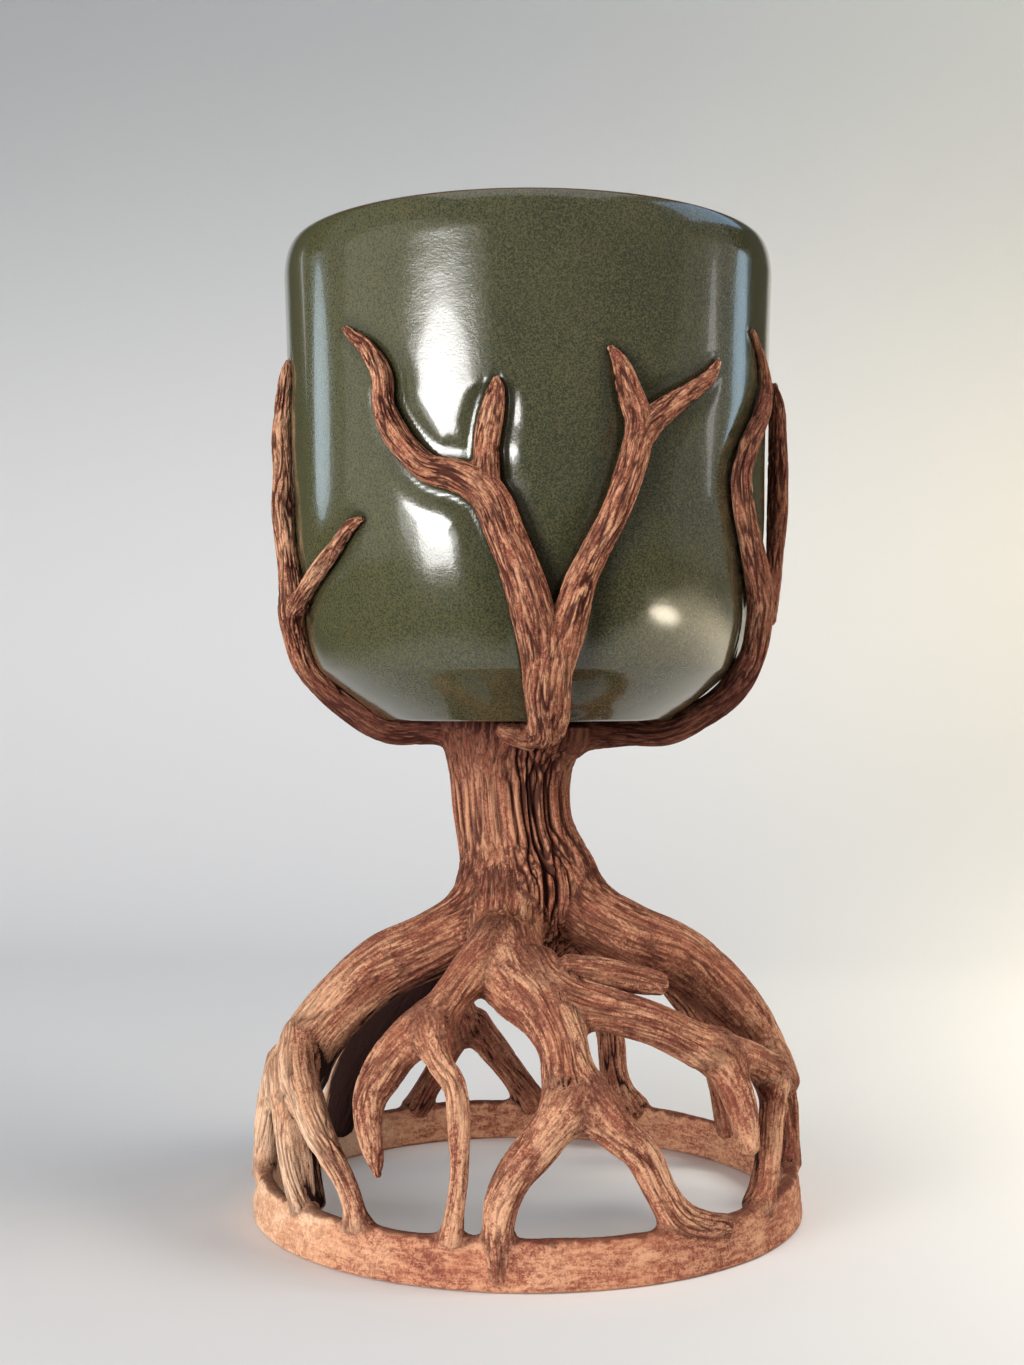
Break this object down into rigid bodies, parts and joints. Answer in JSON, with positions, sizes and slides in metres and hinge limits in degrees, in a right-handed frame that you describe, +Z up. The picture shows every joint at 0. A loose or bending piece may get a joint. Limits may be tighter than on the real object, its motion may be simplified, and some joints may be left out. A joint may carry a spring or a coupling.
{
  "type": "ceramic chalice",
  "caption": "Stoneware chalice: a glossy green glazed cup held in the branches of a bare clay tree, whose trunk is the stem and whose roots arch down to a flat foot ring.",
  "frame": {"origin": "middle of the foot ring's underside, on the table", "axes": "+Z up along the cup's axis, -Y towards the front, where the branch parts into a Y, +X to the right as seen from the front"},
  "size_m": [0.1035, 0.1035, 0.18],
  "materials": {
    "green_glaze": "glossy olive-green glaze with fine brown and yellow-green speckle",
    "dark_clay": "unglazed red-brown stoneware, carved with deep dark bark grooves",
    "branch_clay": "unglazed red-brown stoneware with fine lengthwise bark lines",
    "root_clay": "unglazed red-brown stoneware, rubbed to buff on its high places",
    "pale_clay": "unglazed buff stoneware, mottled with red-brown"
  },
  "bodies": {
    "root": {"cup": "green_glaze", "trunk": "dark_clay", "foot_ring": "pale_clay", "front_root": "root_clay", "front_root_left_leg": "root_clay", "front_root_right_leg": "root_clay", "front_left_root": "root_clay", "front_left_root_tine": "root_clay", "front_left_root_leg": "root_clay", "front_right_root": "root_clay", "front_right_stub": "root_clay", "front_right_root_tine": "root_clay", "left_root": "root_clay", "left_root_outer_leg": "root_clay", "left_root_middle_leg": "root_clay", "left_root_front_leg": "root_clay", "left_root_inner_leg": "root_clay", "left_back_root": "root_clay", "right_root": "root_clay", "right_root_front_leg": "root_clay", "right_root_outer_leg": "root_clay", "right_back_root": "root_clay", "back_right_root": "root_clay", "back_left_root": "root_clay", "back_left_root_left_leg": "root_clay", "back_left_root_right_leg": "root_clay", "front_branch_stem": "branch_clay", "front_left_branch": "branch_clay", "front_left_twig": "branch_clay", "front_right_branch": "branch_clay", "front_right_twig": "branch_clay", "front_curl": "branch_clay", "left_branch": "branch_clay", "left_twig": "branch_clay", "right_branch": "branch_clay", "right_twig": "branch_clay", "back_branch_stem": "branch_clay", "back_left_branch": "branch_clay", "back_left_twig": "branch_clay", "back_right_branch": "branch_clay", "back_right_twig": "branch_clay"}
  },
  "joints": []
}
